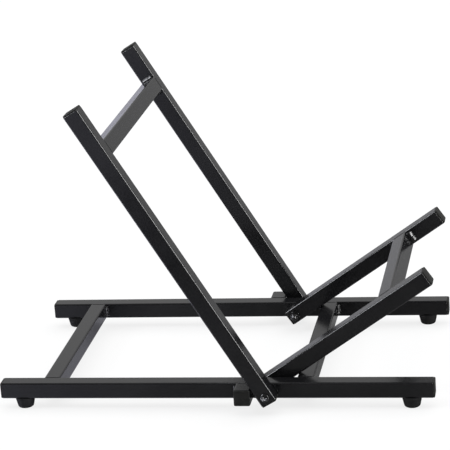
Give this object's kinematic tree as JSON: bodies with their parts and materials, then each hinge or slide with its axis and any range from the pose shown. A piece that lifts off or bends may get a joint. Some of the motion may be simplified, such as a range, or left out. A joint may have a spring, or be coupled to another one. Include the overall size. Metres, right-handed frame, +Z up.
{
  "type": "folding amplifier stand",
  "caption": "Fold-flat floor stand of black square steel tube: a base on rubber feet, a leaning backrest and a short support on shared pivot bolts form a V cradle.",
  "frame": {"origin": "on the floor, under the middle of the base", "axes": "+X along the rails, towards the open front of the cradle; +Y to the stand's left, along the pivot axis; +Z up"},
  "size_m": [0.5316, 0.345, 0.3831],
  "materials": {
    "black_powder_coat": "satin black powder coat with a fine orange peel",
    "black_cap_plastic": "moulded, fine matt texture",
    "black_rubber": "moulded matt rubber",
    "black_zinc_steel": "black zinc plating, semi-gloss",
    "black_nylon": "natural moulded surface",
    "zinc_steel": "clear zinc plating"
  },
  "bodies": {
    "base": {"left_base_rail": "black_powder_coat", "right_base_rail": "black_powder_coat", "rear_crossbar": "black_powder_coat", "front_crossbar": "black_powder_coat", "left_stop_stub": "black_powder_coat", "right_stop_stub": "black_powder_coat", "base_welds": "black_powder_coat", "left_rear_rail_cap": "black_cap_plastic", "right_rear_rail_cap": "black_cap_plastic", "left_front_rail_cap": "black_cap_plastic", "right_front_rail_cap": "black_cap_plastic", "left_stub_cap": "black_cap_plastic", "right_stub_cap": "black_cap_plastic", "left_rear_foot": "black_rubber", "right_rear_foot": "black_rubber", "left_front_foot": "black_rubber", "right_front_foot": "black_rubber", "foot_washers": "zinc_steel", "foot_screws": "zinc_steel", "left_pivot_bolt": "black_zinc_steel", "right_pivot_bolt": "black_zinc_steel", "left_lock_nut": "black_zinc_steel", "right_lock_nut": "black_zinc_steel", "nylon_washers": "black_nylon", "nut_washers": "black_zinc_steel"},
    "backrest": {"left_backrest_tube": "black_powder_coat", "right_backrest_tube": "black_powder_coat", "backrest_crossbar": "black_powder_coat", "backrest_welds": "black_powder_coat", "left_backrest_top_cap": "black_cap_plastic", "right_backrest_top_cap": "black_cap_plastic", "left_backrest_tail_cap": "black_cap_plastic", "right_backrest_tail_cap": "black_cap_plastic"},
    "support": {"left_support_arm": "black_powder_coat", "right_support_arm": "black_powder_coat", "support_crossbar": "black_powder_coat", "support_welds": "black_powder_coat", "left_support_tip_cap": "black_cap_plastic", "right_support_tip_cap": "black_cap_plastic", "left_support_tail_cap": "black_cap_plastic", "right_support_tail_cap": "black_cap_plastic"}
  },
  "joints": [
    {"name": "backrest_fold", "type": "hinge", "parent": "base", "child": "backrest", "pos_m": [0.0655, 0, 0.0235], "axis": [0, 1, 0], "range_deg": [0, 120]},
    {"name": "support_fold", "type": "hinge", "parent": "base", "child": "support", "pos_m": [0.0655, 0, 0.0235], "axis": [0, -1, 0], "range_deg": [0, 145.8]}
  ]
}
